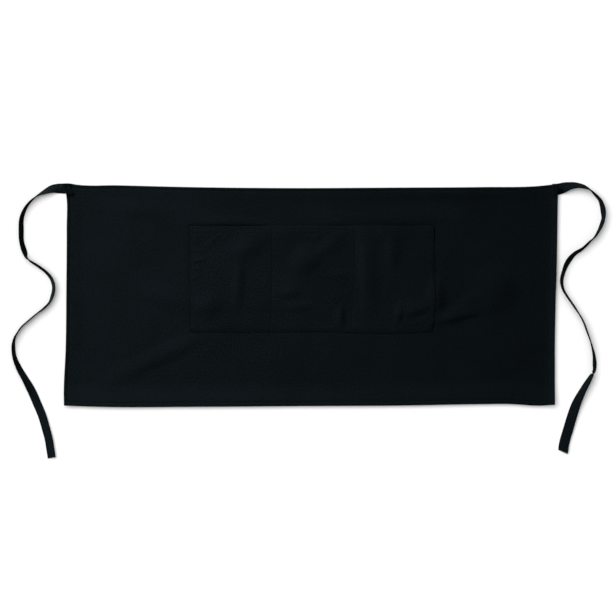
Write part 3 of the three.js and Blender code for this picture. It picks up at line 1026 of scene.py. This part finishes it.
def add_node(tree, kind, inputs, **settings):
    node = tree.nodes.new(kind)
    for key, value in settings.items():
        setattr(node, key, value)
    for key, value in inputs.items():
        if isinstance(value, bpy.types.NodeSocket):
            tree.links.new(value, node.inputs[key])
        else:
            node.inputs[key].default_value = value
    return node


def new_material(name):
    material = bpy.data.materials.new(name)
    material.use_nodes = True
    material.node_tree.nodes.clear()
    return material, material.node_tree


def add_shader(tree, inputs):
    shader = add_node(tree, "ShaderNodeBsdfPrincipled", inputs)
    add_node(tree, "ShaderNodeOutputMaterial", {"Surface": shader.outputs["BSDF"]})


def ribs(tree, flat, turn, pitch, uneven):
    """Even ridges across the cloth, turned by an angle."""
    turned = add_node(tree, "ShaderNodeMapping", {"Vector": flat, "Rotation": (0, 0, math.radians(turn))})
    inputs = {
        "Vector": turned.outputs["Vector"],
        "Scale": TEXTURE_PERIOD / pitch,
        "Distortion": uneven,
        "Detail": 1.0,
        "Detail Scale": 1.5,
    }
    return add_node(tree, "ShaderNodeTexWave", inputs, bands_direction="X").outputs["Fac"]


def noise(tree, at, scale, detail):
    inputs = {"Vector": at, "Scale": scale, "Detail": detail}
    return add_node(tree, "ShaderNodeTexNoise", inputs).outputs["Fac"]


def bumped(tree, height, strength, rise, **over):
    """The way a surface faces with small heights on it, over another bump where one is given."""
    inputs = {"Height": height, "Strength": strength, "Distance": rise, **over}
    return add_node(tree, "ShaderNodeBump", inputs).outputs["Normal"]


def toned(tree, value, colour, tones):
    """A colour that goes from a darker tone to a lighter one."""
    ramp = add_node(tree, "ShaderNodeValToRGB", {"Fac": value})
    for element, tone in zip(ramp.color_ramp.elements, tones):
        element.position = tone.at
        element.color = (*(channel * tone.share for channel in colour), 1)
    return ramp.outputs["Color"]


def between(tree, value, ends):
    inputs = {"Value": value, "To Min": ends[0], "To Max": ends[1]}
    return add_node(tree, "ShaderNodeMapRange", inputs).outputs["Result"]


def cloth_material(name):
    """Dark twill: diagonal ribs crossed by yarns, a little uneven in shade and in roughness, its colour
    scaled by the painted light and shade that the meshes carry.
    """
    material, tree = new_material(name)
    flat = add_node(tree, "ShaderNodeUVMap", {}, uv_map=CLOTH_MAP).outputs["UV"]
    twill = ribs(tree, flat, TWILL_TURN, TWILL_PITCH, TWILL_UNEVEN)
    yarn = ribs(tree, flat, TWILL_TURN - 90, YARN_PITCH, YARN_UNEVEN)
    weave = add_node(tree, "ShaderNodeMath", {0: twill, 1: yarn}, operation="ADD").outputs["Value"]
    patches = noise(tree, flat, PATCH_SCALE, 3.0)
    slubs_at = add_node(tree, "ShaderNodeMapping", {"Vector": flat, "Scale": SLUB_SCALE})
    slubs = noise(tree, slubs_at.outputs["Vector"], 1.0, 1.0)
    rugged = bumped(tree, slubs, 1.0, SLUB_RISE)
    parts = {"Factor": SLUB_SHARE, "A": patches, "B": slubs}
    uneven = add_node(tree, "ShaderNodeMix", parts, data_type="FLOAT").outputs["Result"]
    tone = toned(tree, uneven, CLOTH_COLOUR, CLOTH_TONES)
    # painted light and shade, carried by the meshes
    painted_shading = add_node(tree, "ShaderNodeAttribute", {}, attribute_name=SHADE_MAP).outputs["Fac"]
    shaded = add_node(tree, "ShaderNodeVectorMath", {0: tone, "Scale": painted_shading}, operation="SCALE")
    add_shader(
        tree,
        {
            "Base Color": shaded.outputs["Vector"],
            "Roughness": between(tree, slubs, CLOTH_ROUGHNESS),
            "Specular IOR Level": 0.01,
            "Sheen Weight": 0.003,
            "Sheen Roughness": 0.5,
            "Normal": bumped(tree, weave, WEAVE_STRENGTH, WEAVE_RISE, Normal=rugged),
        },
    )
    return material


def thread_material():
    """Dark sewing thread with a fine twist."""
    material, tree = new_material("thread")
    place = add_node(tree, "ShaderNodeTexCoord", {}).outputs["Object"]
    twist = noise(tree, place, TWIST_SCALE, 1.0)
    add_shader(
        tree,
        {
            "Base Color": toned(tree, twist, THREAD_COLOUR, THREAD_TONES),
            "Roughness": between(tree, twist, THREAD_ROUGHNESS),
            "Specular IOR Level": 0.02,
            "Normal": bumped(tree, twist, TWIST_STRENGTH, TWIST_RISE),
        },
    )
    return material


def add_floor():
    material, tree = new_material("floor")
    add_shader(tree, {"Base Color": (*FLOOR_COLOUR, 1), "Roughness": 1.0, "Specular IOR Level": 0.0})
    square = Rect(-FLOOR_HALF, FLOOR_HALF, -FLOOR_HALF, FLOOR_HALF)
    points = np.array([(x, y, FLOOR_Z) for x, y in corners_of(square)])
    floor = new_mesh("floor", points, [(0, 1, 2, 3)], material)
    return floor


def add_light(name, kind, place, aim, **settings):
    light = bpy.data.lights.new(name, kind)
    for key, value in settings.items():
        setattr(light, key, value)
    lamp = bpy.data.objects.new(name, light)
    lamp.location = place
    lamp.rotation_euler = (Vector(aim) - Vector(place)).to_track_quat("-Z", "Y").to_euler()
    lamp.visible_camera = False
    bpy.context.scene.collection.objects.link(lamp)
    return lamp


def keep_off(lamp, piece):
    """Keeps a lamp's light off a piece, as a flag in front of the lamp would."""
    shaded = bpy.data.collections.new(lamp.name + "_shaded")
    shaded.objects.link(piece)
    shaded.collection_objects[0].light_linking.link_state = "EXCLUDE"
    lamp.light_linking.receiver_collection = shaded


def add_lights(floor):
    world = bpy.data.worlds.new("studio")
    world.use_nodes = True
    background = world.node_tree.nodes["Background"]
    background.inputs["Color"].default_value = (1, 1, 1, 1)
    background.inputs["Strength"].default_value = SKY_STRENGTH
    bpy.context.scene.world = world
    add_light("sun", "SUN", SUN_PLACE, (0, 0, 0), energy=SUN_STRENGTH, angle=math.radians(SUN_SPREAD))
    window = add_light(
        "window",
        "SPOT",
        WINDOW_PLACE,
        WINDOW_AIM,
        energy=WINDOW_POWER,
        spot_size=math.radians(WINDOW_SPREAD),
        spot_blend=WINDOW_BLEND,
        shadow_soft_size=WINDOW_RADIUS,
    )
    keep_off(window, floor)


def add_camera():
    camera = bpy.data.cameras.new("camera")
    camera.lens = LENS
    camera.sensor_width = SENSOR
    holder = bpy.data.objects.new("camera", camera)
    holder.location = (*CAMERA_OVER, FIELD * LENS / SENSOR)
    bpy.context.scene.collection.objects.link(holder)
    bpy.context.scene.camera = holder
    bpy.context.scene.view_settings.view_transform = "Standard"


add_camera()
add_lights(add_floor())

panel_twill = cloth_material("panel_twill")
pocket_twill = cloth_material("pocket_twill")
tie_twill = cloth_material("tie_twill")
thread = thread_material()

for tie in TIES:
    cloth = build_tie(tie, tie_twill)
    sewing = build_stitches(tie.name + "_stitches", tie_rows(tie), thread)
    for piece in (cloth, sewing):
        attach(piece, "root")
    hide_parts(tie.name)

panel = build_panel(panel_twill)
panel_sewing = build_stitches("panel_stitches", panel_rows(), thread)
for piece in (panel, panel_sewing):
    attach(piece, "root")
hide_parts("apron_panel")

pocket = build_pocket(pocket_twill)
pocket_sewing = build_stitches("pocket_stitches", pocket_rows(), thread)
for piece in (pocket, pocket_sewing):
    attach(piece, "root")
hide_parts("pocket")
